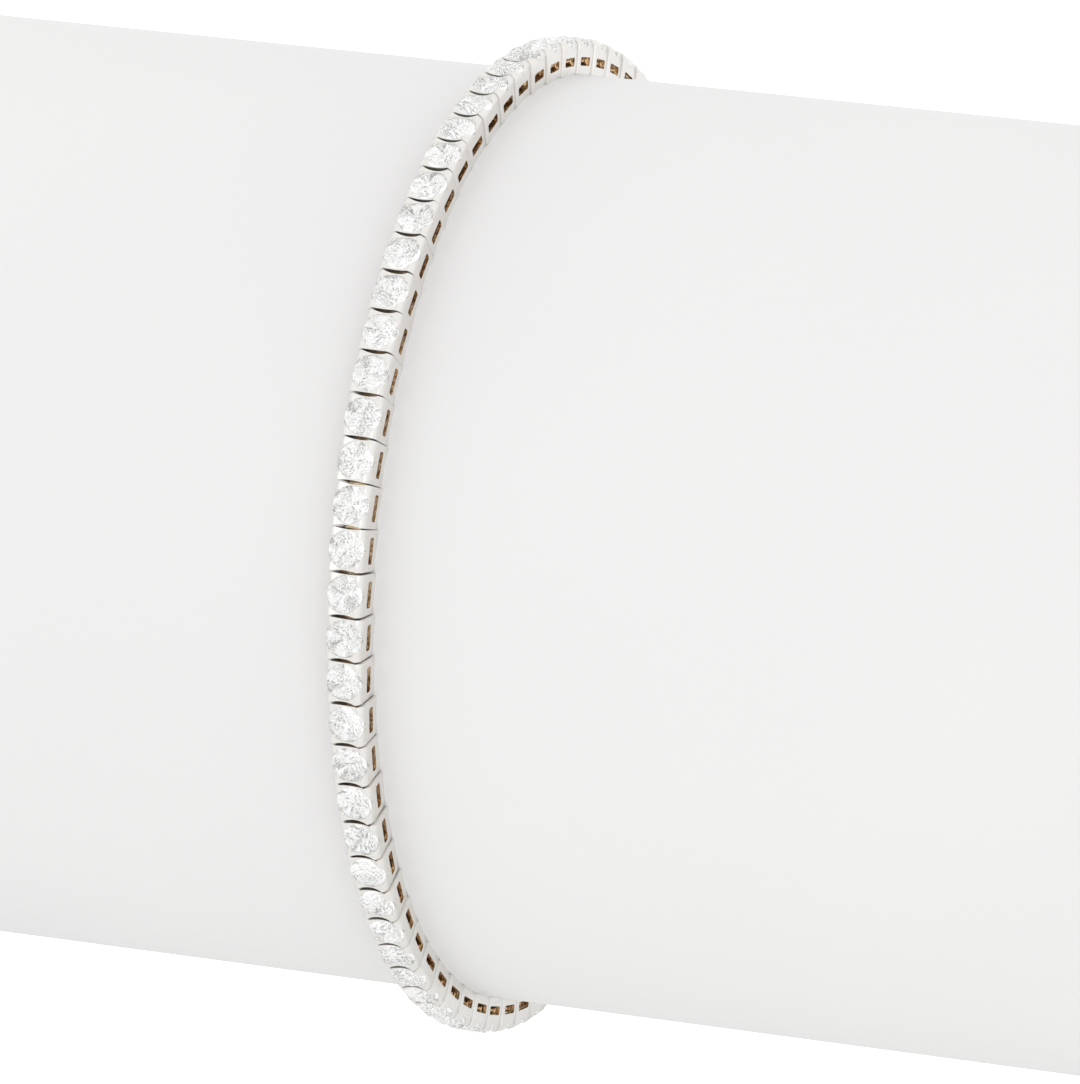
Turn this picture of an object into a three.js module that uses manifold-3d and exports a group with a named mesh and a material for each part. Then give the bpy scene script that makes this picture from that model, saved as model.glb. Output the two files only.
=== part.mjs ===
// A tennis bracelet of small box links, fastened round a plain display roll.
// Millimetres, +Z up, +X along the roll. The origin lies under the middle of the roll,
// level with the lowest link. An angle round the roll is 0 at the top, 90 degrees at the
// front (-Y), 180 at the bottom and 270 at the back (+Y).
import * as THREE from "three";
import { mergeVertices } from "three/addons/utils/BufferGeometryUtils.js";
import Module from "manifold-3d";

// Display roll: a plain round bar, lying on its side.
const ROLL_RADIUS = 26.9;
const ROLL_LENGTH = 100;
const ROLL_RIM = 1.2; // rounding of the rim at each end
const ROLL_SIDES = 72;
const RIM_STEPS = 3;

// Line of links: square boxes side by side, each hinged to the next.
const SEAT_GAP = 0.22; // between the roll and the underside of the links
const LINK_COUNT = 69;
const LINK_WIDTH = 2.15; // across the line
const LINK_HEIGHT = 2.1; // from the underside to the top of the setting
const LINK_BEVEL = 0.22; // along the two upper edges
const JOINT_GAP = 0.14; // between neighbours, at the underside
const HINGE_WIDTH = 1.1; // the tongue that passes from link to link
const HINGE_HEIGHT = 0.7;
const HINGE_BEVEL = 0.18;
const HINGE_LIFT = 0.45; // from the underside of the link to the underside of the tongue

// Open window in both side plates of each link.
const WINDOW_LENGTH = 1.42;
const WINDOW_HEIGHT = 0.46;
const WINDOW_LIFT = 0.54; // from the underside of the link to the lower edge of the window

// Box clasp: a plain closed box at the back, as wide and as high as the links.
const CLASP_LENGTH = 6.5;
const CLASP_GAP = 0.3; // to the last link on either side
const CLASP_BEVEL = 0.22;
const CLASP_ANGLE = 270;

// The line lies on the roll with a slight lean and a slow snake. Each row moves it along
// the roll by (along * cos(turns * angle) + aside * sin(turns * angle)).
const SNAKE = [
  { turns: 1, along: -0.41, aside: 0 },
  { turns: 2, along: -0.04, aside: -0.18 },
];

const UNDERSIDE = ROLL_RADIUS + SEAT_GAP;
const TOP = UNDERSIDE + LINK_HEIGHT;
const AXIS_HEIGHT = TOP; // the lowest link touches z = 0
const RADIANS = Math.PI / 180;
const claspHalfSlot = Math.atan((CLASP_LENGTH / 2 + CLASP_GAP) / UNDERSIDE);
const pitchAngle = (2 * Math.PI - 2 * claspHalfSlot) / LINK_COUNT;
const jointAngle = JOINT_GAP / UNDERSIDE;
const halfBody = (pitchAngle - jointAngle) / 2;

const wasm = await Module();
wasm.setup();

function snakeOffset(angle) {
  return SNAKE.reduce(
    (sum, row) =>
      sum + row.along * Math.cos(row.turns * angle) + row.aside * Math.sin(row.turns * angle),
    0,
  );
}

// The middle of link number i, as an angle round the roll.
function linkAngle(i) {
  return CLASP_ANGLE * RADIANS + claspHalfSlot + (i + 0.5) * pitchAngle;
}

// Where a point stands, from its place across the line, its distance from the roll's axis
// and its angle round the roll.
function roundRoll(across, distance, angle) {
  return [
    across + snakeOffset(angle),
    -distance * Math.sin(angle),
    AXIS_HEIGHT + distance * Math.cos(angle),
  ];
}

function toManifold(geometry) {
  const bare = geometry.clone();
  bare.deleteAttribute("normal");
  bare.deleteAttribute("uv");
  const merged = mergeVertices(bare, 1e-5);
  return new wasm.Manifold(
    new wasm.Mesh({
      numProp: 3,
      vertProperties: new Float32Array(merged.attributes.position.array),
      triVerts: new Uint32Array(merged.index.array),
    }),
  );
}

function toGeometry(manifold) {
  const mesh = manifold.getMesh();
  const indexed = new THREE.BufferGeometry()
    .setAttribute("position", new THREE.BufferAttribute(new Float32Array(mesh.vertProperties), 3))
    .setIndex(new THREE.BufferAttribute(new Uint32Array(mesh.triVerts), 1));
  const flat = indexed.toNonIndexed();
  flat.computeVertexNormals();
  return flat;
}

// A closed body through rings of equal point counts, capped at both ends.
function loft(rings) {
  const size = rings[0].length;
  const index = [];
  for (let r = 0; r + 1 < rings.length; r++)
    for (let j = 0; j < size; j++) {
      const a = r * size + j;
      const b = r * size + ((j + 1) % size);
      index.push(a, b, b + size, a, b + size, a + size);
    }
  const last = (rings.length - 1) * size;
  for (let j = 1; j + 1 < size; j++) {
    index.push(0, j + 1, j);
    index.push(last, last + j, last + j + 1);
  }
  return new THREE.BufferGeometry()
    .setAttribute("position", new THREE.Float32BufferAttribute(rings.flat(2), 3))
    .setIndex(index);
}

// Sections across the line, as [across, height above the underside], round the outline.
function boxSection(width, low, high, bevel) {
  const half = width / 2;
  return [
    [-half, low],
    [half, low],
    [half, high - bevel],
    [half - bevel, high],
    [bevel - half, high],
    [-half, high - bevel],
  ];
}

// A link's faces are flat, so the corners stand a little further out than the faces.
function ringAt(section, angle, halfAngle) {
  return section.map(([across, height]) =>
    roundRoll(across, (UNDERSIDE + height) / Math.cos(halfAngle), angle),
  );
}

function makeLinkLine() {
  const body = boxSection(LINK_WIDTH, 0, LINK_HEIGHT, LINK_BEVEL);
  const tongue = boxSection(HINGE_WIDTH, HINGE_LIFT, HINGE_LIFT + HINGE_HEIGHT, HINGE_BEVEL);
  const rings = [];
  for (let i = 0; i < LINK_COUNT; i++) {
    const start = linkAngle(i) - halfBody;
    const end = linkAngle(i) + halfBody;
    if (i > 0) rings.push(ringAt(tongue, start, halfBody));
    rings.push(ringAt(body, start, halfBody), ringAt(body, end, halfBody));
    if (i < LINK_COUNT - 1) rings.push(ringAt(tongue, end, halfBody));
  }
  let line = toManifold(loft(rings));
  for (let i = 0; i < LINK_COUNT; i++) line = line.subtract(windowCutter(linkAngle(i)));
  return toGeometry(line);
}

// A bar that passes through both side plates of one link.
function windowCutter(angle) {
  const cutter = new THREE.BoxGeometry(2 * LINK_WIDTH, WINDOW_LENGTH, WINDOW_HEIGHT);
  cutter.rotateX(angle);
  const distance = UNDERSIDE + WINDOW_LIFT + WINDOW_HEIGHT / 2;
  cutter.translate(...roundRoll(0, distance, angle));
  return toManifold(cutter);
}

function makeClasp() {
  const outline = new THREE.Shape(
    boxSection(LINK_WIDTH, 0, LINK_HEIGHT, CLASP_BEVEL).map(([x, y]) => new THREE.Vector2(x, y)),
  );
  const clasp = new THREE.ExtrudeGeometry(outline, { depth: CLASP_LENGTH, bevelEnabled: false });
  clasp.translate(0, UNDERSIDE, -CLASP_LENGTH / 2);
  return clasp;
}

function makeRoll() {
  const half = ROLL_LENGTH / 2;
  const flat = ROLL_RADIUS - ROLL_RIM; // radius of the flat end face
  const profile = [new THREE.Vector2(0, -half)];
  for (const end of [-1, 1])
    for (let step = 0; step <= RIM_STEPS; step++) {
      const turn = (end < 0 ? step : RIM_STEPS - step) * (Math.PI / 2 / RIM_STEPS);
      profile.push(
        new THREE.Vector2(
          flat + ROLL_RIM * Math.sin(turn),
          end * (half - ROLL_RIM + ROLL_RIM * Math.cos(turn)),
        ),
      );
    }
  profile.push(new THREE.Vector2(0, half));
  return new THREE.LatheGeometry(profile, ROLL_SIDES, Math.PI / ROLL_SIDES, 2 * Math.PI);
}

function addPiece(group, name, geometry, colour, roughness, metalness) {
  const material = new THREE.MeshStandardMaterial({ color: colour, roughness, metalness });
  const mesh = new THREE.Mesh(geometry, material);
  mesh.name = name;
  group.add(mesh);
  return mesh;
}

const group = new THREE.Group();

const roll = addPiece(group, "display_roll", makeRoll(), 0xf0efee, 0.8, 0);
roll.rotation.z = Math.PI / 2;
roll.position.z = AXIS_HEIGHT;

addPiece(group, "link_line", makeLinkLine(), 0xdfe0e2, 0.15, 1);

const clasp = addPiece(group, "box_clasp", makeClasp(), 0xdfe0e2, 0.2, 1);
clasp.rotation.x = CLASP_ANGLE * RADIANS + Math.PI / 2;
clasp.position.set(snakeOffset(CLASP_ANGLE * RADIANS), 0, AXIS_HEIGHT);

export default group;
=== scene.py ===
# %% [markdown]
# # A line bracelet of brilliants on its display roll
#
# The object is a line of small white-gold boxes, hinged one to the next, with a round
# brilliant in each. It is closed round a plain off-white roll. The CAD model says where
# everything is; this lesson gives each piece the shape and the finish that the eye sees.
# We start by loading that model. It must stay where it is.

# %% Load the fixed frame
import math
import random

import bmesh
import bpy
from mathutils import Euler, Matrix, Vector


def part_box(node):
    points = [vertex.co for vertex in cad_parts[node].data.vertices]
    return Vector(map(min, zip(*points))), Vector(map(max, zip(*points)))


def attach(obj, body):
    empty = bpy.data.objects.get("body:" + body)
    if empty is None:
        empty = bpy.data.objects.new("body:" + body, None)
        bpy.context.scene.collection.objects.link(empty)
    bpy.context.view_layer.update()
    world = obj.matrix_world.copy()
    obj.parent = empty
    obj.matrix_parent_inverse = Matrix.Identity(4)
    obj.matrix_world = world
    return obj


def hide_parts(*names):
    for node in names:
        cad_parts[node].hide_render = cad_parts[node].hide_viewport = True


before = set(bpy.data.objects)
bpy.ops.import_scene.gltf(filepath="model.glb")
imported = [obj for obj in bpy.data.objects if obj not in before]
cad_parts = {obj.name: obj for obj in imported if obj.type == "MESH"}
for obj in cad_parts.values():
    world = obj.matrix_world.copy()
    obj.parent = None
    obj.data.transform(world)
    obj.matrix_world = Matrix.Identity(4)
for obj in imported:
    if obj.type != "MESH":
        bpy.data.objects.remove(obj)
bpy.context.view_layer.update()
MM = 0.001
print("CAD nodes:", sorted(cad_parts))

# %% [markdown]
# ## Sizes
#
# Most sizes come from the frame: the roll's radius and length from the box of its node, and
# the height of the roll's axis from the same box. The line's own sizes are those that a
# bench jeweller would give for such a link, in millimetres.

# %% Sizes from the frame, in millimetres
roll_low, roll_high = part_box("display_roll")
line_low, line_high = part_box("link_line")
clasp_low, clasp_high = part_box("box_clasp")
ROLL_LENGTH = (roll_high.x - roll_low.x) / MM
ROLL_RADIUS = (roll_high.z - roll_low.z) / 2 / MM
AXIS_HEIGHT = (roll_high.z + roll_low.z) / 2 / MM
LINK_TOP = AXIS_HEIGHT - line_low.z / MM
print(f"roll {ROLL_LENGTH:.1f} long, radius {ROLL_RADIUS:.2f}, axis {AXIS_HEIGHT:.2f} up")
print(f"the tops of the links stand {LINK_TOP:.2f} from the axis")

# %% Sizes of the line, in millimetres
LINK_COUNT = 69
LINK_HEIGHT = 2.1
LINK_WIDTH = 2.15
UNDERSIDE = LINK_TOP - LINK_HEIGHT
CLASP_LENGTH = (clasp_high.z - clasp_low.z) / MM
CLASP_GAP = 0.3
CLASP_HALF_SLOT = math.atan((CLASP_LENGTH / 2 + CLASP_GAP) / UNDERSIDE)
CLASP_ANGLE = math.radians(270)
PITCH = (2 * math.pi - 2 * CLASP_HALF_SLOT) / LINK_COUNT
print(f"{LINK_COUNT} links, one every {math.degrees(PITCH):.3f} degrees")

# %% [markdown]
# ## Places round the roll
#
# A place on the line is an angle: 0 at the top, 90 degrees at the front, 180 at the bottom.
# The line leans a little on the roll and snakes slowly from side to side, as a real one does
# when it is slid on by hand. Each link has its own small frame: u along the line, v across
# it, and h up from its underside.

# %% Where a link stands
SNAKE = [
    {"turns": 1, "along": -0.41, "aside": 0.0},
    {"turns": 2, "along": -0.04, "aside": -0.18},
]


def snake_offset(angle):
    """How far the line lies to the right of the roll's middle, in millimetres."""
    offset = 0.0
    for row in SNAKE:
        turned = row["turns"] * angle
        offset += row["along"] * math.cos(turned) + row["aside"] * math.sin(turned)
    return offset


def snake_slope(angle):
    """How much it moves to the right for each millimetre along the line."""
    step = 0.001
    return (snake_offset(angle + step) - snake_offset(angle - step)) / (2 * step * UNDERSIDE)


def link_angle(number):
    return CLASP_ANGLE + CLASP_HALF_SLOT + (number + 0.5) * PITCH


def placed(angle, turn=(0.0, 0.0, 0.0), shift=(0.0, 0.0, 0.0), pivot=0.0):
    """From a link's own frame in millimetres to the world in metres."""
    along = Vector((0, -math.cos(angle), -math.sin(angle)))
    out = Vector((0, -math.sin(angle), math.cos(angle)))
    across = Vector((1, 0, 0))
    axes = Matrix((along, across, out)).transposed().to_4x4()
    yaw = Matrix.Rotation(-math.atan(snake_slope(angle)), 4, "Z")
    spot = Vector((snake_offset(angle), 0, AXIS_HEIGHT)) + out * UNDERSIDE
    wobble = (
        Matrix.Translation((0, 0, pivot))
        @ Euler(turn).to_matrix().to_4x4()
        @ Matrix.Translation((0, 0, -pivot))
    )
    local = Matrix.Translation(shift) @ wobble
    return Matrix.Scale(MM, 4) @ Matrix.Translation(spot) @ axes @ yaw @ local


print("first link at", [round(c, 4) for c in placed(link_angle(0)).translation])

# %% [markdown]
# ## Colours and nodes
#
# Colours are written as the sRGB hex values that a picture shows, and one function turns
# them into the linear values that the shader wants. One more function adds a node, fills in
# its settings and links its inputs.

# %% Two helpers for materials


def linear(hexcode, alpha=1.0):
    """The linear colour of an sRGB hex value."""
    channels = []
    for i in (1, 3, 5):
        shown = int(hexcode[i : i + 2], 16) / 255
        channels.append(shown / 12.92 if shown <= 0.04045 else ((shown + 0.055) / 1.055) ** 2.4)
    return (*channels, alpha)


def add(tree, kind, settings=None, values=None, links=None):
    """Adds a node with its own settings, the values of its inputs, and their links."""
    node = tree.nodes.new(kind)
    for name, value in (settings or {}).items():
        setattr(node, name, value)
    for name, value in (values or {}).items():
        node.inputs[name].default_value = value
    for name, source in (links or {}).items():
        tree.links.new(source, node.inputs[name])
    return node


def new_material(name):
    made = bpy.data.materials.new(name)
    made.use_nodes = True
    made.node_tree.nodes.clear()
    return made, made.node_tree


def set_ramp(node, stops):
    ramp = node.color_ramp
    while len(ramp.elements) < len(stops):
        ramp.elements.new(0.5)
    for element, (place, colour) in zip(ramp.elements, stops):
        element.position = place
        element.color = colour


print("white paper reads", [round(c, 3) for c in linear("#FFFFFF")])

# %% [markdown]
# ## Rhodium-plated white gold
#
# The links are cast in 14 carat white gold, polished, and plated with rhodium, which gives
# the eye a bright and slightly warm grey mirror. Rhodium reflects three quarters to four
# fifths of the light, and the colour is matched to the object at the bright end of that. A
# polished casting isn't a perfect mirror: buffing leaves soft waves about half a millimetre
# long and fine lines a few hundredths of a millimetre apart. The lines would be too fine to
# show, so they are drawn at 0.08 mm, and a roughness about 0.3 blurs what they reflect.

# %% Rhodium plate
BUFF_WAVE_MM = 0.6
BUFF_LINE_MM = 0.08


def per_metre(size_mm):
    """The scale of a noise whose features are that big, on coordinates in metres."""
    return 1 / (size_mm * MM)


def rhodium_plate():
    made, tree = new_material("rhodium_plated_white_gold")
    place = add(tree, "ShaderNodeNewGeometry")
    wave = add(
        tree,
        "ShaderNodeTexNoise",
        values={"Scale": per_metre(BUFF_WAVE_MM), "Detail": 1.0},
        links={"Vector": place.outputs["Position"]},
    )
    lines = add(
        tree,
        "ShaderNodeTexNoise",
        values={"Scale": per_metre(BUFF_LINE_MM), "Detail": 2.0},
        links={"Vector": place.outputs["Position"]},
    )
    tint = add(tree, "ShaderNodeValToRGB", links={"Fac": wave.outputs["Fac"]})
    set_ramp(tint, [(0.3, linear("#EDEAE6")), (0.7, linear("#F0EFEB"))])
    gloss = add(
        tree,
        "ShaderNodeMapRange",
        values={"To Min": 0.24, "To Max": 0.36},
        links={"Value": lines.outputs["Fac"]},
    )
    soft = add(
        tree,
        "ShaderNodeBump",
        values={"Strength": 0.25, "Distance": 0.00002},
        links={"Height": wave.outputs["Fac"]},
    )
    shader = add(
        tree,
        "ShaderNodeBsdfPrincipled",
        values={"Metallic": 1.0},
        links={
            "Base Color": tint.outputs["Color"],
            "Roughness": gloss.outputs["Result"],
            "Normal": soft.outputs["Normal"],
        },
    )
    add(tree, "ShaderNodeOutputMaterial", links={"Surface": shader.outputs["BSDF"]})
    return made


PLATE = rhodium_plate()
print("made", PLATE.name)

# %% [markdown]
# ## Bare gold alloy in the recesses
#
# Plating hardly reaches the inside of so small a box, so the windows and the gaps between
# the stones show the alloy itself: a brownish gold, left as cast. Its skin has soft lumps
# and darker stains where polish has stayed behind, both about 0.3 mm across. The palest
# patches of its colour, a near-white cream, are painted glints that light up the recesses.
# One noise drives the colour, the gloss and the bump, because on the real thing the lumps,
# the stains and the gloss go together.

# %% Bare gold
STAIN_AND_GLINT_MM = 0.3


def bare_gold():
    made, tree = new_material("bare_gold_alloy_as_cast_with_painted_glints")
    place = add(tree, "ShaderNodeNewGeometry")
    stain_and_glint = add(
        tree,
        "ShaderNodeTexNoise",
        values={"Scale": per_metre(STAIN_AND_GLINT_MM), "Detail": 3.0},
        links={"Vector": place.outputs["Position"]},
    )
    colour = add(tree, "ShaderNodeValToRGB", links={"Fac": stain_and_glint.outputs["Fac"]})
    # The dark stop is the polish stains; the pale cream top stop is painted glint, paler than
    # the alloy is.
    stops = [(0.35, "#8C6C47"), (0.5, "#DDC29D"), (0.65, "#FBEAD0")]
    set_ramp(colour, [(at, linear(hexcode)) for at, hexcode in stops])
    gloss = add(
        tree,
        "ShaderNodeMapRange",
        values={"To Min": 0.45, "To Max": 0.15},
        links={"Value": stain_and_glint.outputs["Fac"]},
    )
    skin = add(
        tree,
        "ShaderNodeBump",
        values={"Strength": 0.8, "Distance": 0.00006},
        links={"Height": stain_and_glint.outputs["Fac"]},
    )
    shader = add(
        tree,
        "ShaderNodeBsdfPrincipled",
        values={"Metallic": 1.0},
        links={
            "Base Color": colour.outputs["Color"],
            "Roughness": gloss.outputs["Result"],
            "Normal": skin.outputs["Normal"],
        },
    )
    add(tree, "ShaderNodeOutputMaterial", links={"Surface": shader.outputs["BSDF"]})
    return made


GOLD = bare_gold()
print("made", GOLD.name)

# %% [markdown]
# ## Worn joints
#
# The flat ends of two links rub on each other whenever the line bends. That wears the plate
# off, and grease and dust settle there, which leaves a dull brownish grey, in patches about
# 0.25 mm across: shinier where the metal is rubbed clean and duller where the grease lies.
# The eye sees only the edge of this finish, as the thin dark line between two side plates.

# %% Worn joints
GRIME_MM = 0.25


def worn_joint():
    made, tree = new_material("white_gold_rubbed_grey_in_the_joints")
    place = add(tree, "ShaderNodeNewGeometry")
    grime = add(
        tree,
        "ShaderNodeTexNoise",
        values={"Scale": per_metre(GRIME_MM), "Detail": 2.0},
        links={"Vector": place.outputs["Position"]},
    )
    colour = add(tree, "ShaderNodeValToRGB", links={"Fac": grime.outputs["Fac"]})
    set_ramp(colour, [(0.35, linear("#64543F")), (0.65, linear("#8B7C6A"))])
    gloss = add(
        tree,
        "ShaderNodeMapRange",
        values={"To Min": 0.5, "To Max": 0.3},
        links={"Value": grime.outputs["Fac"]},
    )
    shader = add(
        tree,
        "ShaderNodeBsdfPrincipled",
        values={"Metallic": 1.0},
        links={"Base Color": colour.outputs["Color"], "Roughness": gloss.outputs["Result"]},
    )
    add(tree, "ShaderNodeOutputMaterial", links={"Surface": shader.outputs["BSDF"]})
    return made


JOINT = worn_joint()
print("made", JOINT.name)

# %% [markdown]
# ## Diamond
#
# Diamond bends light more than any other clear stone: its index is 2.417. Its facets are
# flat and perfectly polished, so there is no roughness at all and every facet is a real
# face of the mesh. The body is colourless.

# %% Diamond
DIAMOND_INDEX = 2.417


def diamond():
    made, tree = new_material("diamond_brilliant")
    shader = add(
        tree,
        "ShaderNodeBsdfPrincipled",
        values={
            "Base Color": linear("#FFFFFF"),
            "Roughness": 0.0,
            "IOR": DIAMOND_INDEX,
            "Transmission Weight": 1.0,
        },
    )
    add(tree, "ShaderNodeOutputMaterial", links={"Surface": shader.outputs["BSDF"]})
    return made


STONE = diamond()
print("made", STONE.name)

# %% [markdown]
# ## The mirrors under the stone
#
# The facets under the girdle are steep enough to throw the light back up: that is what makes
# a brilliant bright. Glass-like facets alone come out too dark here, because a renderer stops
# following a ray after a few bounces inside the stone and the rest of its light is lost. So
# these facets are made as mirrors, which return light for sure, with a little light of their
# own that stands for what was lost. A real stone also shows reflections of reflections, down
# to a few hundredths of a millimetre. They are too fine to trace, so that light is broken up
# by one noise drawn at 0.14 mm and one that differs from facet to facet.

# %% Pavilion facets
RETURNED_LIGHT = 0.66
SPARKLE_MM = 0.14
FACET_MM = 1.2
FACET_SHARE = 0.45
FACET_JUMP = 0.01


def pavilion_mirror():
    made, tree = new_material("diamond_pavilion_facets")
    place = add(tree, "ShaderNodeNewGeometry")
    patch = add(
        tree,
        "ShaderNodeVectorMath",
        settings={"operation": "MULTIPLY_ADD"},
        values={1: (FACET_JUMP, FACET_JUMP, FACET_JUMP)},
        links={0: place.outputs["True Normal"], 2: place.outputs["Position"]},
    )
    sparkle = add(
        tree,
        "ShaderNodeTexNoise",
        values={"Scale": per_metre(SPARKLE_MM), "Detail": 1.0},
        links={"Vector": patch.outputs["Vector"]},
    )
    facet = add(
        tree,
        "ShaderNodeTexNoise",
        values={"Scale": per_metre(FACET_MM), "Detail": 0.0},
        links={"Vector": patch.outputs["Vector"]},
    )
    both = add(
        tree,
        "ShaderNodeMix",
        settings={"data_type": "FLOAT"},
        values={"Factor": FACET_SHARE},
        links={"A": sparkle.outputs["Fac"], "B": facet.outputs["Fac"]},
    )
    mottle = add(tree, "ShaderNodeValToRGB", links={"Fac": both.outputs["Result"]})
    stops = [(0.39, "#60605E"), (0.47, "#D8D8D6"), (0.6, "#FFFFFF")]
    set_ramp(mottle, [(at, linear(hexcode)) for at, hexcode in stops])
    shader = add(
        tree,
        "ShaderNodeBsdfPrincipled",
        values={
            "Base Color": linear("#AAAAAA"),
            "Metallic": 1.0,
            "Roughness": 0.0,
            "Emission Strength": RETURNED_LIGHT,
        },
        links={"Emission Color": mottle.outputs["Color"]},
    )
    add(tree, "ShaderNodeOutputMaterial", links={"Surface": shader.outputs["BSDF"]})
    return made


PAVILION = pavilion_mirror()
print("made", PAVILION.name)

# %% [markdown]
# ## Matte moulded roll
#
# The display roll is a plain moulded tube with closed ends, in an off-white plastic with a
# fine spark-eroded grain that kills its gloss. The grain is about 0.1 mm, far too fine to
# show at this size, so it is drawn at 0.35 mm and very shallow. Handling leaves the tone
# a hair uneven, over several centimetres.

# %% Roll plastic
GRAIN_MM = 0.35
TONE_MM = 40


def roll_plastic():
    made, tree = new_material("matte_moulded_abs_off_white")
    place = add(tree, "ShaderNodeNewGeometry")
    tone = add(
        tree,
        "ShaderNodeTexNoise",
        values={"Scale": per_metre(TONE_MM), "Detail": 2.0},
        links={"Vector": place.outputs["Position"]},
    )
    grain = add(
        tree,
        "ShaderNodeTexNoise",
        values={"Scale": per_metre(GRAIN_MM), "Detail": 3.0},
        links={"Vector": place.outputs["Position"]},
    )
    colour = add(tree, "ShaderNodeValToRGB", links={"Fac": tone.outputs["Fac"]})
    set_ramp(colour, [(0.3, linear("#EDECEC")), (0.7, linear("#EFEFEE"))])
    bump = add(
        tree,
        "ShaderNodeBump",
        values={"Strength": 0.08, "Distance": 0.00003},
        links={"Height": grain.outputs["Fac"]},
    )
    shader = add(
        tree,
        "ShaderNodeBsdfPrincipled",
        values={"Roughness": 0.62, "IOR": 1.5},
        links={"Base Color": colour.outputs["Color"], "Normal": bump.outputs["Normal"]},
    )
    add(tree, "ShaderNodeOutputMaterial", links={"Surface": shader.outputs["BSDF"]})
    return made


ROLL = roll_plastic()
print("made", ROLL.name)

# %% [markdown]
# ## The roll
#
# A turned profile is the plainest way to a round bar: the outline of half the bar, swung
# round its axis in enough steps to look smooth. The rim is a quarter circle. It replaces
# the CAD cylinder, whose flats would show. That cylinder is also a quarter of a millimetre
# slimmer, which keeps it clear of the line; the bar here is turned out to the feet of the
# links, because on the real thing they touch it all round.

# %% Turn the roll
ROLL_SWELL = 0.25
ROLL_RIM = 1.2
ROLL_RIM_STEPS = 8
ROLL_STEPS = 240
ROLL_CREASE = 30


def object_from(name, vertices, faces, materials, face_materials=None):
    mesh = bpy.data.meshes.new(name)
    mesh.from_pydata(vertices, [], faces)
    for material in materials:
        mesh.materials.append(material)
    if face_materials:
        mesh.polygons.foreach_set("material_index", face_materials)
    mesh.update()
    made = bpy.data.objects.new(name, mesh)
    bpy.context.scene.collection.objects.link(made)
    return made


def smooth(made, degrees):
    """Shades the faces as one, but for edges that turn by more than so many degrees."""
    made.data.shade_smooth()
    made.data.set_sharp_from_angle(angle=math.radians(degrees))


def roll_profile():
    half = ROLL_LENGTH / 2
    flat = ROLL_RADIUS + ROLL_SWELL - ROLL_RIM
    left = []
    for step in range(ROLL_RIM_STEPS + 1):
        turn = step / ROLL_RIM_STEPS * math.pi / 2
        left.append(
            (-half + ROLL_RIM * (1 - math.cos(turn)), flat + ROLL_RIM * math.sin(turn))
        )
    return left + [(-x, r) for x, r in reversed(left)]


def turn_roll():
    profile = roll_profile()
    vertices = []
    for step in range(ROLL_STEPS):
        angle = step / ROLL_STEPS * 2 * math.pi
        for x, r in profile:
            vertices.append(
                (x * MM, -r * MM * math.sin(angle), (AXIS_HEIGHT + r * math.cos(angle)) * MM)
            )
    size = len(profile)
    faces = []
    for step in range(ROLL_STEPS):
        here, after = step * size, (step + 1) % ROLL_STEPS * size
        for j in range(size - 1):
            faces.append((here + j, after + j, after + j + 1, here + j + 1))
    faces.append([step * size for step in reversed(range(ROLL_STEPS))])
    faces.append([step * size + size - 1 for step in range(ROLL_STEPS)])
    made = object_from("roll", vertices, faces, [ROLL])
    smooth(made, ROLL_CREASE)
    return made


roll = turn_roll()
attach(roll, "root")
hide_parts("display_roll")
print("roll faces:", len(roll.data.polygons))

# %% [markdown]
# ## One link
#
# A link starts as a wedge-shaped box: as the line bends round the roll, its upper side is a
# little longer than its underside, and the joint between two links opens a hair towards the
# top. Its upper long edges are well rounded, like shoulders. What makes it a setting is cut
# out of it: the seat for the stone, a window in each side plate, a V between the prongs over
# each plate, a scoop between the prongs at each end, and the slot that the hinge passes
# through. Each end is also hollowed a little between the prongs, down into that slot. Two
# such hollows make the lens-shaped dark gap that is seen between the stones, with a glint
# of the hinge at its bottom.

# %% Shape of a link, in millimetres
GAP_AT_TOP = 0.085
GAP_AT_FOOT = 0.05
HALF_TOP = LINK_TOP * math.tan(PITCH / 2) - GAP_AT_TOP / 2
HALF_FOOT = UNDERSIDE * math.tan(PITCH / 2) - GAP_AT_FOOT / 2
SHOULDER_ROUND = 0.5
RIM_ROUND = 0.05
PLATE_WALL = 0.18
END_WALL = 0.22
CAVITY_LOW = 0.3
CAVITY_HIGH = 1.5
STONE_RADIUS = 1.08
GIRDLE_HEIGHT = 1.82
SEAT_PLAY = 0.006
SEAT_HEIGHT = 1.76
SEAT_CONE = 0.6
WINDOW_LENGTH = 1.52
WINDOW_LOW = 0.52
WINDOW_HIGH = 1.03
WINDOW_CORNER = 0.12
VEE_TIP = 1.575
VEE_HALF_ANGLE = math.radians(56)
SCOOP_LOW = 1.85
SCOOP_HALF_WIDTH = 0.85
HOLLOW_DEPTH = 0.08
HOLLOW_HALF_WIDTH = 0.82
HOLLOW_LOW = 1.1
RAIL_RADIUS = 0.2
RAIL_HEIGHT = 0.78
RAIL_ASIDE = 0.6
SLOT_HALF = 0.6
SLOT_LOW = 0.42
SLOT_HIGH = 1.2
print(f"a link is {2 * HALF_FOOT:.2f} long at its foot and {2 * HALF_TOP:.2f} at its top")

# %% [markdown]
# Blender's boolean modifier does the cutting, at a scale of one unit to the millimetre,
# where it is surest. Boxes and prisms are made by one function from two outlines, and
# round cutters by another. A face that a cutter leaves behind takes the cutter's finish: the
# cutters that open the inside wear the bare gold, and the others the plate.

# %% Makers for solids and cutters


def prism(low_outline, high_outline, material):
    """A closed body between two outlines of as many points, wound the same way."""
    count = len(low_outline)
    faces = [tuple(reversed(range(count))), tuple(range(count, 2 * count))]
    for j in range(count):
        k = (j + 1) % count
        faces.append((j, k, k + count, j + count))
    made = object_from("cutter", [*low_outline, *high_outline], faces, [material])
    return faced_out(made)


def faced_out(made):
    edit = bmesh.new()
    edit.from_mesh(made.data)
    bmesh.ops.recalc_face_normals(edit, faces=edit.faces)
    edit.to_mesh(made.data)
    edit.free()
    return made


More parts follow.
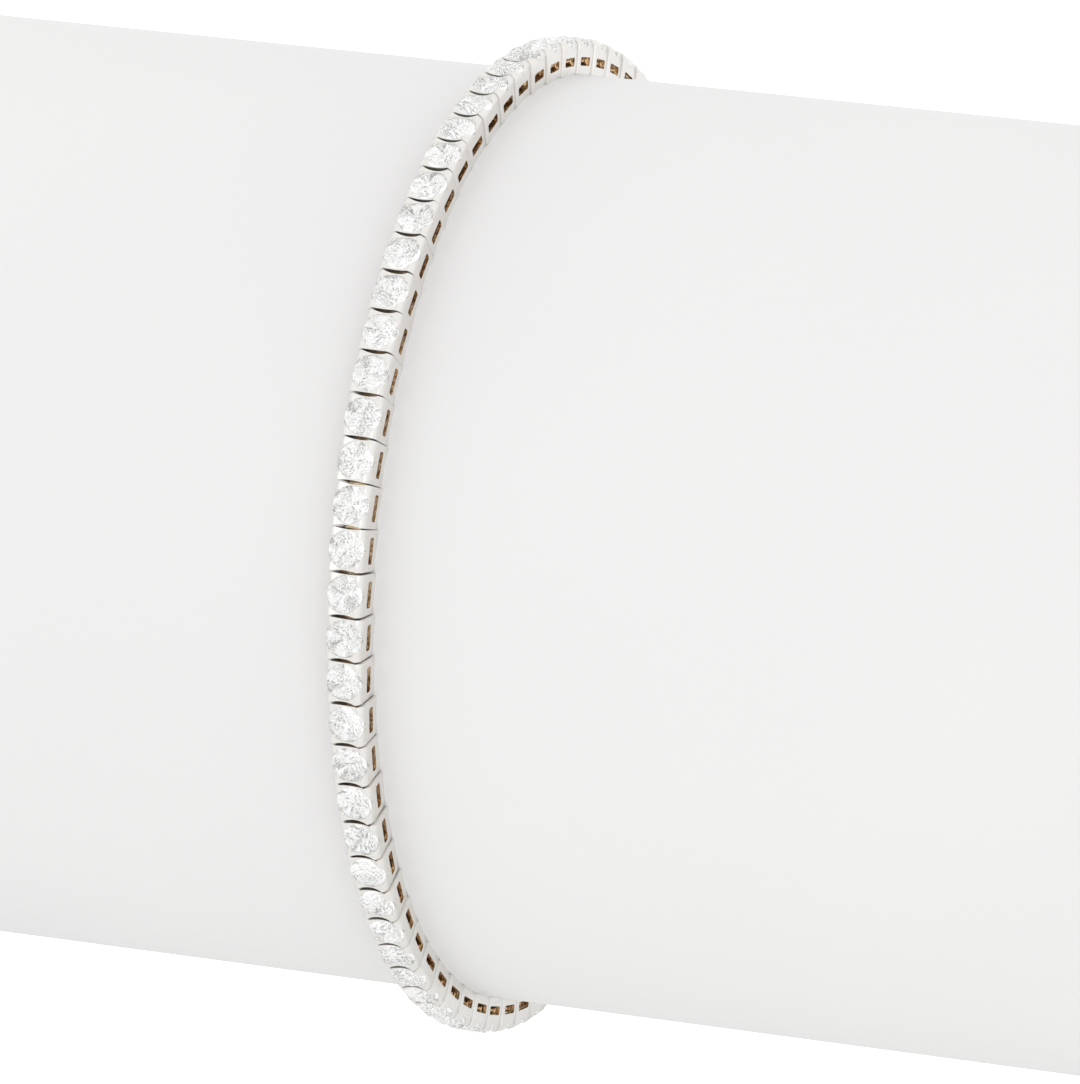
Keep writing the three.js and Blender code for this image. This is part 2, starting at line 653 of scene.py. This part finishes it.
def block(half_u, half_v, low, high, material):
    outline = [(-half_u, -half_v), (half_u, -half_v), (half_u, half_v), (-half_u, half_v)]
    return prism([(u, v, low) for u, v in outline], [(u, v, high) for u, v in outline], material)


def round_bar(radius, start, end, material, sides=36, end_radius=None):
    """A round bar or cone from start to end."""
    axis = (Vector(end) - Vector(start)).normalized()
    turn = axis.to_track_quat("Z", "Y")
    rings = []
    for centre, r in ((start, radius), (end, radius if end_radius is None else end_radius)):
        ring = []
        for step in range(sides):
            angle = (step + 0.5) / sides * 2 * math.pi
            spoke = Vector((r * math.cos(angle), r * math.sin(angle), 0))
            ring.append(tuple(Vector(centre) + turn @ spoke))
        rings.append(ring)
    return prism(rings[0], rings[1], material)


def carve(body, cutter, operation="DIFFERENCE"):
    """Cuts with, or joins on, another body, which is then thrown away."""
    cut = body.modifiers.new("carve", "BOOLEAN")
    cut.operation = operation
    cut.solver = "EXACT"
    cut.object = cutter
    cut.material_mode = "TRANSFER"
    settle(body)
    bpy.data.objects.remove(cutter)


def settle(body):
    """Applies the modifiers of a body to its mesh."""
    seen = body.evaluated_get(bpy.context.evaluated_depsgraph_get())
    fresh = bpy.data.meshes.new_from_object(seen)
    body.modifiers.clear()
    old = body.data
    body.data = fresh
    bpy.data.meshes.remove(old)


print("units while cutting: one to the millimetre")

# %% [markdown]
# The blank is drawn from its end: an outline with square feet and two round shoulders, the
# same at both ends and joined by straight sides. Its ends lean apart towards the top, as
# the line bends. The rim round each end is then bevelled: the modifier reads a weight from
# each edge, so only the rims are rounded.

# %% Round the blank
SHOULDER_STEPS = 6
LINK_RIM_STEPS = 2


def half_length(height):
    return HALF_FOOT + (HALF_TOP - HALF_FOOT) * height / LINK_HEIGHT


def end_outline():
    """The link seen from its end, as (v, h) from one foot over the shoulders to the other."""
    flat_v, flat_h = LINK_WIDTH / 2 - SHOULDER_ROUND, LINK_HEIGHT - SHOULDER_ROUND
    side = [(LINK_WIDTH / 2, 0.0)]
    for step in range(SHOULDER_STEPS + 1):
        turn = step / SHOULDER_STEPS * math.pi / 2
        across, up = SHOULDER_ROUND * math.cos(turn), SHOULDER_ROUND * math.sin(turn)
        side.append((flat_v + across, flat_h + up))
    return side + [(-v, h) for v, h in reversed(side)]


def link_blank():
    outline = end_outline()
    ends = [[(end * half_length(h), v, h) for v, h in outline] for end in (-1, 1)]
    blank = prism(*ends, PLATE)
    weights = blank.data.attributes.new("bevel_weight_edge", "FLOAT", "EDGE")
    corners = blank.data.vertices
    for edge, weight in zip(blank.data.edges, weights.data):
        a, b = (corners[i].co for i in edge.vertices)
        on_rim = a.x * b.x > 0 and max(a.z, b.z) > 0
        weight.value = 1.0 if on_rim else 0.0
    rim = blank.modifiers.new("rim", "BEVEL")
    rim.limit_method = "WEIGHT"
    rim.width = RIM_ROUND
    rim.segments = LINK_RIM_STEPS
    settle(blank)
    return blank


blank = link_blank()
print("blank faces:", len(blank.data.polygons))

# %% [markdown]
# Now the cuts, in the order in which they would be made at the bench: the space inside, the
# seat, the windows, the hinge slot, the hollows of the ends, and last the notches and the
# scoop that leave a prong at each corner. The seat is a straight bore for the girdle with a
# cone below it for the underside of the stone.

# %% Cut the link
REACH = 3.0
OVERLAP = 0.001
WINDOW_CORNER_STEPS = 3
HOLLOW_STEPS = 8
SCOOP_SIDES = 48


def through(outline, material):
    """A cutter that runs right across the link, from an outline seen from its side."""
    near, far = ([(u, v, h) for u, h in outline] for v in (-REACH, REACH))
    return prism(near, far, material)


def window_cutter():
    middle = (WINDOW_LOW + WINDOW_HIGH) / 2
    straight_u = WINDOW_LENGTH / 2 - WINDOW_CORNER
    straight_h = (WINDOW_HIGH - WINDOW_LOW) / 2 - WINDOW_CORNER
    outline = []
    for quarter, (side_u, side_h) in enumerate([(1, 1), (-1, 1), (-1, -1), (1, -1)]):
        for step in range(WINDOW_CORNER_STEPS + 1):
            turn = (quarter + step / WINDOW_CORNER_STEPS) * math.pi / 2
            outline.append(
                (
                    side_u * straight_u + WINDOW_CORNER * math.cos(turn),
                    middle + side_h * straight_h + WINDOW_CORNER * math.sin(turn),
                )
            )
    return through(outline, GOLD)


def vee_cutter():
    """The notch over both side plates, which leaves a prong at each corner."""
    wide = (REACH - VEE_TIP) * math.tan(VEE_HALF_ANGLE)
    return through([(0, VEE_TIP), (wide, REACH), (-wide, REACH)], PLATE)


def scoop_cutter():
    """A round bar along the line that lowers the end walls between the prongs."""
    deep = LINK_HEIGHT - SCOOP_LOW
    radius = (SCOOP_HALF_WIDTH**2 + deep**2) / (2 * deep)
    middle = SCOOP_LOW + radius
    start, end = (-REACH, 0, middle), (REACH, 0, middle)
    return round_bar(radius, start, end, PLATE, sides=SCOOP_SIDES)


def hollow_cutter(end):
    """The curved cutter that hollows one end a little, most at its middle."""
    wide, deep = HOLLOW_HALF_WIDTH, HOLLOW_DEPTH
    radius = (wide**2 + deep**2) / (2 * deep)
    outline = [(end * REACH, -wide), (end * REACH, wide)]
    for step in range(HOLLOW_STEPS + 1):
        v = wide - step / HOLLOW_STEPS * 2 * wide
        inset = math.sqrt(radius**2 - v**2) - (radius - deep)
        outline.append((end * (HALF_TOP - inset), v))
    low, high = ([(u, v, h) for u, v in outline] for h in (HOLLOW_LOW, REACH))
    return prism(low, high, GOLD)


def cut_link(link):
    cavity_u, cavity_v = HALF_FOOT - END_WALL, LINK_WIDTH / 2 - PLATE_WALL
    carve(link, block(cavity_u, cavity_v, CAVITY_LOW, CAVITY_HIGH, GOLD))
    seat = STONE_RADIUS + SEAT_PLAY
    carve(link, round_bar(seat, (0, 0, SEAT_HEIGHT), (0, 0, REACH), PLATE))
    low, high = SEAT_HEIGHT - SEAT_CONE, SEAT_HEIGHT + OVERLAP
    carve(link, round_bar(seat - SEAT_CONE, (0, 0, low), (0, 0, high), PLATE, end_radius=seat))
    carve(link, window_cutter())
    carve(link, block(REACH, SLOT_HALF, SLOT_LOW, SLOT_HIGH, GOLD))
    for end in (-1, 1):
        carve(link, hollow_cutter(end))
    carve(link, vee_cutter())
    carve(link, scoop_cutter())


cut_link(blank)
print("link faces after the cuts:", len(blank.data.polygons))

# %% [markdown]
# The prongs are what is left at the four corners, with a claw pushed over the edge of the
# stone. A claw is a small egg of metal, joined on. Two rails of bare gold are joined on too:
# they run along the inside, just behind the windows, and catch the light there as the parts
# of a real hinge do.

# %% Push the claws over
CLAW_SPREAD = 1.08
CLAW_REACH = 1.13
CLAW_HEIGHT = 1.9
CLAW_SIZE = (0.15, 0.17, 0.1)
RAIL_SIDES = 10


def claw(corner_u, corner_v):
    """An egg of metal in the direction of a corner."""
    edit = bmesh.new()
    bmesh.ops.create_icosphere(edit, subdivisions=2, radius=1.0)
    turn = math.atan2(corner_v, corner_u)
    place = (
        Matrix.Rotation(turn, 4, "Z")
        @ Matrix.Translation((CLAW_REACH, 0, CLAW_HEIGHT))
        @ Matrix.Diagonal((*CLAW_SIZE, 1.0))
    )
    edit.transform(place)
    mesh = bpy.data.meshes.new("claw")
    edit.to_mesh(mesh)
    edit.free()
    mesh.materials.append(PLATE)
    made = bpy.data.objects.new("claw", mesh)
    bpy.context.scene.collection.objects.link(made)
    return made


for corner_u in (-1, 1):
    for corner_v in (-1, 1):
        carve(blank, claw(corner_u * CLAW_SPREAD, corner_v), "UNION")
for aside in (-RAIL_ASIDE, RAIL_ASIDE):
    ends = [(end * (HALF_FOOT - END_WALL / 2), aside, RAIL_HEIGHT) for end in (-1, 1)]
    carve(blank, round_bar(RAIL_RADIUS, *ends, GOLD, sides=RAIL_SIDES), "UNION")
print("link faces with claws:", len(blank.data.polygons))

# %% [markdown]
# A saw or a burr leaves a sharp edge, and polishing takes it off again. A very narrow bevel
# on every edge that turns by more than 50 degrees does the same, and it gives each edge the
# thin bright line by which the eye tells metal from paper. Last, the flat ends get the
# finish of the worn joints.

# %% Soften the cut edges
EDGE_BREAK = 0.015
SHARP_EDGE = math.radians(50)
WORN_FACING = 0.9
WORN_MARGIN = 0.01


def break_edges(link):
    bevel = link.modifiers.new("break", "BEVEL")
    bevel.limit_method = "ANGLE"
    bevel.angle_limit = SHARP_EDGE
    bevel.width = EDGE_BREAK
    bevel.segments = 1
    bevel.use_clamp_overlap = True
    settle(link)


def bare_ends(link):
    """The faces that meet in a joint are rubbed bare."""
    worn = link.data.materials.find(JOINT.name)
    for side in link.data.polygons:
        at_end = abs(side.center.x) > HALF_FOOT - WORN_MARGIN
        if at_end and abs(side.normal.x) > WORN_FACING:
            side.material_index = worn


break_edges(blank)
bare_ends(blank)
print("finished link:", len(blank.data.polygons), "faces,", len(blank.data.vertices), "corners")

# %% [markdown]
# ## The line of links
#
# Many small things are best as one joined mesh: the link's corners are moved to each place
# on the line and written out together. No two links of a worn line stand quite alike, so
# each gets a small turn and shift of its own, from a seeded draw that is the same each run.

# %% Copy the link along the line
WOBBLE = random.Random(7)
TURN_SPREAD = (0.4, 0.5, 0.8)
SHIFT_SPREAD = (0.018, 0.025, 0.0)
LINK_CREASE = 28


def draw_wobble():
    turn = [math.radians(WOBBLE.uniform(-s, s)) for s in TURN_SPREAD]
    shift = [WOBBLE.uniform(-s, s) for s in SHIFT_SPREAD]
    return turn, shift


link_places = []
for number in range(LINK_COUNT):
    turn, shift = draw_wobble()
    link_places.append(placed(link_angle(number), turn, shift, LINK_HEIGHT / 2))


def joined(name, pattern, places, materials):
    """One mesh with a copy of the pattern at each place."""
    corners = [v.co.copy() for v in pattern.vertices]
    sides = [tuple(p.vertices) for p in pattern.polygons]
    finishes = [p.material_index for p in pattern.polygons]
    vertices, faces, face_materials = [], [], []
    for place in places:
        first = len(vertices)
        vertices += [tuple(place @ c) for c in corners]
        faces += [tuple(first + i for i in side) for side in sides]
        face_materials += finishes
    return object_from(name, vertices, faces, materials, face_materials)


settings = joined("settings", blank.data, link_places, list(blank.data.materials))
smooth(settings, LINK_CREASE)
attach(settings, "root")
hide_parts("link_line")
bpy.data.objects.remove(blank)
print("settings faces:", len(settings.data.polygons))

# %% [markdown]
# ## The brilliants
#
# A round brilliant has an eight-sided table, eight kites, eight stars and sixteen upper
# halves on its crown, and eight long kites and sixteen lower halves under its girdle. Its
# corners follow from a few proportions, and the hull of those corners is the stone, so no
# facet has to be listed by hand.

# %% Cut a brilliant
TABLE = 0.57
CROWN_ANGLE = math.radians(34.5)
PAVILION_ANGLE = math.radians(40.75)
GIRDLE = 0.05
LOWER_HALF = 0.78
FLAT_ENOUGH = math.radians(0.5)
FACES_DOWN = -0.1


def ring_of(count, radius, height, first=0.0):
    angles = [first + 2 * math.pi * i / count for i in range(count)]
    return [(radius * math.cos(a), radius * math.sin(a), height) for a in angles]


def brilliant_corners():
    """Corners for a girdle of radius 1, with the girdle's upper edge at height 0."""
    eighth = math.pi / 8
    table_height = (1 - TABLE) * math.tan(CROWN_ANGLE)
    star_radius = (TABLE * math.cos(eighth) + 1) / 2
    star_height = (1 - star_radius * math.cos(eighth)) * math.tan(CROWN_ANGLE)
    half_radius = 1 - LOWER_HALF
    half_height = -GIRDLE - (1 - half_radius * math.cos(eighth)) * math.tan(PAVILION_ANGLE)
    culet_height = -GIRDLE - math.tan(PAVILION_ANGLE)
    return (
        ring_of(8, TABLE, table_height)
        + ring_of(8, star_radius, star_height, eighth)
        + ring_of(16, 1.0, 0.0)
        + ring_of(16, 1.0, -GIRDLE)
        + ring_of(8, half_radius, half_height, eighth)
        + [(0.0, 0.0, culet_height)]
    )


def cut_brilliant():
    """The hull of the corners, in millimetres, with the mirrors as its second finish."""
    edit = bmesh.new()
    for corner in brilliant_corners():
        edit.verts.new([c * STONE_RADIUS for c in corner])
    bmesh.ops.convex_hull(edit, input=edit.verts)
    bmesh.ops.dissolve_limit(
        edit, angle_limit=FLAT_ENOUGH, verts=edit.verts, edges=edit.edges
    )
    for facet in edit.faces:
        facet.normal_update()
        facet.material_index = 1 if facet.normal.z < FACES_DOWN else 0
    mesh = bpy.data.meshes.new("brilliant")
    edit.to_mesh(mesh)
    edit.free()
    return mesh


brilliant = cut_brilliant()
print("facets of one stone:", len(brilliant.polygons))

# %% [markdown]
# No stone is set quite level or with its facets quite in line with the next one's, and that
# is why they flash one after another when the bracelet moves. Each gets a small tilt and a
# turn of its own. Its upper facets are clear diamond and its lower ones are the mirrors.

# %% Set the stones
STONE_TILT = math.radians(1.6)


def stone_place(link_place):
    tilt = Euler([WOBBLE.uniform(-STONE_TILT, STONE_TILT) for _ in range(2)] + [0.0])
    spin = Matrix.Rotation(WOBBLE.uniform(0, math.pi / 4), 4, "Z")
    lift = Matrix.Translation((0, 0, GIRDLE_HEIGHT))
    return link_place @ lift @ tilt.to_matrix().to_4x4() @ spin


stones = joined("stones", brilliant, [stone_place(p) for p in link_places], [STONE, PAVILION])
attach(stones, "root")
print("stones:", LINK_COUNT, "with", len(stones.data.polygons), "facets")

# %% [markdown]
# ## The hinges
#
# From link to link runs a flat tongue with a pin across its end, inside the boxes. Only its
# edges show, at the bottom of the gaps and behind the windows, as glints of bare gold.

# %% Lay the hinges
TONGUE_HALF_WIDTH = 0.5
TONGUE_LOW = 0.5
TONGUE_HIGH = 1.1
TONGUE_HALF_LENGTH = 0.62
TONGUE_EDGE = 0.04
PIN_RADIUS = 0.2
PIN_SIDES = 16
PIN_PLAY = 0.03
PIN_SHARE = 0.85
HINGE_CREASE = 35


def hinge_pattern():
    tongue = block(TONGUE_HALF_LENGTH, TONGUE_HALF_WIDTH, TONGUE_LOW, TONGUE_HIGH, GOLD)
    middle = (TONGUE_LOW + TONGUE_HIGH) / 2
    pin_end = LINK_WIDTH / 2 - PLATE_WALL - PIN_PLAY
    for side in (-1, 1):
        at = side * TONGUE_HALF_LENGTH * PIN_SHARE
        start, end = (at, -pin_end, middle), (at, pin_end, middle)
        carve(tongue, round_bar(PIN_RADIUS, start, end, GOLD, sides=PIN_SIDES), "UNION")
    bevel = tongue.modifiers.new("break", "BEVEL")
    bevel.width = TONGUE_EDGE
    bevel.segments = 2
    bevel.limit_method = "ANGLE"
    settle(tongue)
    return tongue


hinge = hinge_pattern()
joint_places = [placed(link_angle(n) + PITCH / 2) for n in range(LINK_COUNT - 1)]
hinges = joined("hinges", hinge.data, joint_places, [GOLD])
smooth(hinges, HINGE_CREASE)
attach(hinges, "root")
bpy.data.objects.remove(hinge)
print("hinges:", len(joint_places))

# %% [markdown]
# ## The clasp
#
# The box clasp lies at the back, hidden in every usual view of the front. It is kept as one
# plain closed box, as wide and as high as the line, with its edges well broken.

# %% Make the clasp
CLASP_EDGE = 0.25
CLASP_EDGE_STEPS = 4
CLASP_CREASE = 40


def make_clasp():
    half_u, half_v = CLASP_LENGTH / 2, LINK_WIDTH / 2
    clasp = block(half_u, half_v, 0, LINK_HEIGHT, PLATE)
    bevel = clasp.modifiers.new("round", "BEVEL")
    bevel.width = CLASP_EDGE
    bevel.segments = CLASP_EDGE_STEPS
    settle(clasp)
    clasp.name = "clasp"
    across = Matrix.Translation((snake_offset(CLASP_ANGLE) * MM, 0, 0))
    along, sideways, out = Vector((0, 0, 1)), Vector((1, 0, 0)), Vector((0, 1, 0))
    straight = Matrix((along, sideways, out)).transposed().to_4x4()
    lift = Matrix.Translation((0, UNDERSIDE * MM, AXIS_HEIGHT * MM))
    clasp.data.transform(across @ lift @ straight @ Matrix.Scale(MM, 4))
    smooth(clasp, CLASP_CREASE)
    return clasp


clasp = make_clasp()
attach(clasp, "root")
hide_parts("box_clasp")
print("clasp faces:", len(clasp.data.polygons))

# %% [markdown]
# ## Floor and light
#
# White goods are shot on a sheet of opal acrylic lit from beneath, inside a white tent. The
# sheet is nearly as bright as the tent, so the object casts hardly any shadow and its
# underside is filled with light. A sheet bright enough to look white behind the object would
# burn out the underside of the roll, so its glow has two values: the full one where the
# picture looks at the sheet itself, and a weaker one for the light that it gives the object.

# %% Opal floor
FLOOR_SIDE = 6.0
GLOW_ON_OBJECT = 0.6
GLOW_TO_EYE = 1.0


def opal_sheet():
    made, tree = new_material("opal_acrylic_lit_from_beneath")
    seen = add(tree, "ShaderNodeLightPath")
    glow = add(
        tree,
        "ShaderNodeMapRange",
        values={"To Min": GLOW_ON_OBJECT, "To Max": GLOW_TO_EYE},
        links={"Value": seen.outputs["Is Camera Ray"]},
    )
    shader = add(
        tree,
        "ShaderNodeBsdfPrincipled",
        values={
            "Base Color": linear("#A0A0A0"),
            "Roughness": 0.9,
            "Emission Color": linear("#FFFFFF"),
        },
        links={"Emission Strength": glow.outputs["Result"]},
    )
    add(tree, "ShaderNodeOutputMaterial", links={"Surface": shader.outputs["BSDF"]})
    return made


half_floor = FLOOR_SIDE / 2
corners = [(x * half_floor, y * half_floor, 0) for x, y in ((-1, -1), (1, -1), (1, 1), (-1, 1))]
floor = object_from("floor", corners, [(0, 1, 2, 3)], [opal_sheet()])
print("floor", FLOOR_SIDE, "m square")

# %% [markdown]
# The tent is white cloth on all sides, so a world of one even white stands for it.

# %% White tent
TENT_STRENGTH = 1.0


def white_tent():
    world = bpy.data.worlds.new("white_tent")
    world.use_nodes = True
    tree = world.node_tree
    tree.nodes.clear()
    sky = add(
        tree,
        "ShaderNodeBackground",
        values={"Color": linear("#FFFFFF"), "Strength": TENT_STRENGTH},
    )
    add(tree, "ShaderNodeOutputWorld", links={"Surface": sky.outputs["Background"]})
    return world


# %% [markdown]
# In an even tent a white roll is the same white everywhere and looks flat. One large softbox
# at the front right, hardly brighter than the cloth, shades the roll gently from front to
# back and gives the shoulders of the links their sheen. Its power follows from the brightness
# that it should have: a square that gives off light evenly sends out pi times its area times
# that brightness.

# %% Softbox
SOFTBOX_SIDE = 0.5
SOFTBOX_DISTANCE = 1.0
SOFTBOX_AZIMUTH = math.radians(28)
SOFTBOX_HEIGHT = 0.3
SOFTBOX_RADIANCE = 0.6


def hang_softbox():
    data = bpy.data.lights.new("softbox", "AREA")
    data.shape = "SQUARE"
    data.size = SOFTBOX_SIDE
    data.energy = SOFTBOX_RADIANCE * math.pi * SOFTBOX_SIDE**2
    made = bpy.data.objects.new("softbox", data)
    bpy.context.scene.collection.objects.link(made)
    made.location = (
        SOFTBOX_DISTANCE * math.sin(SOFTBOX_AZIMUTH),
        -SOFTBOX_DISTANCE * math.cos(SOFTBOX_AZIMUTH),
        SOFTBOX_HEIGHT,
    )
    aim = Vector((0, 0, AXIS_HEIGHT * MM)) - made.location
    made.rotation_euler = aim.to_track_quat("-Z", "Y").to_euler()
    made.visible_camera = False
    return made


softbox = hang_softbox()
print(f"softbox of {softbox.data.energy:.2f} W")

# %% [markdown]
# The pictures of such goods keep white paper white, so the scene is seen through the plain
# standard transform, which doesn't roll off the highlights.

# %% Set the stage
bpy.context.scene.world = white_tent()
bpy.context.scene.view_settings.view_transform = "Standard"
print("tent strength", TENT_STRENGTH)

# %% [markdown]
# ## The camera
#
# The photograph was taken with a long lens, from a little to the right and above. These
# few numbers give its place: two angles, the distance, and how large a millimetre looks.

# %% Camera
VIEW_AZIMUTH = math.radians(21.09)
VIEW_ELEVATION = math.radians(17.88)
VIEW_DISTANCE_MM = 625.8
PIXELS_PER_MM = 17.078
PHOTO_WIDTH = 1080
SENSOR_MM = 36.0
VIEW_SHIFT_MM = (0.38, 0.313)
NEAREST, FARTHEST = 0.01, 20.0


def place_camera():
    data = bpy.data.cameras.new("camera")
    data.sensor_fit = "HORIZONTAL"
    data.sensor_width = SENSOR_MM
    data.lens = PIXELS_PER_MM * VIEW_DISTANCE_MM * SENSOR_MM / PHOTO_WIDTH
    data.clip_start, data.clip_end = NEAREST, FARTHEST
    made = bpy.data.objects.new("camera", data)
    bpy.context.scene.collection.objects.link(made)
    sin_a, cos_a = math.sin(VIEW_AZIMUTH), math.cos(VIEW_AZIMUTH)
    sin_e, cos_e = math.sin(VIEW_ELEVATION), math.cos(VIEW_ELEVATION)
    back = Vector((sin_a * cos_e, -cos_a * cos_e, sin_e))
    right = Vector((cos_a, sin_a, 0))
    up = back.cross(right)
    middle = Vector((LINK_WIDTH / 2, 0, AXIS_HEIGHT))
    spot = middle - right * VIEW_SHIFT_MM[0] - up * VIEW_SHIFT_MM[1] + back * VIEW_DISTANCE_MM
    facing = Matrix((right, up, back)).transposed().to_4x4()
    made.matrix_world = Matrix.Translation(spot * MM) @ facing
    return made


camera = place_camera()
bpy.context.scene.camera = camera
print(f"lens {camera.data.lens:.0f} mm")
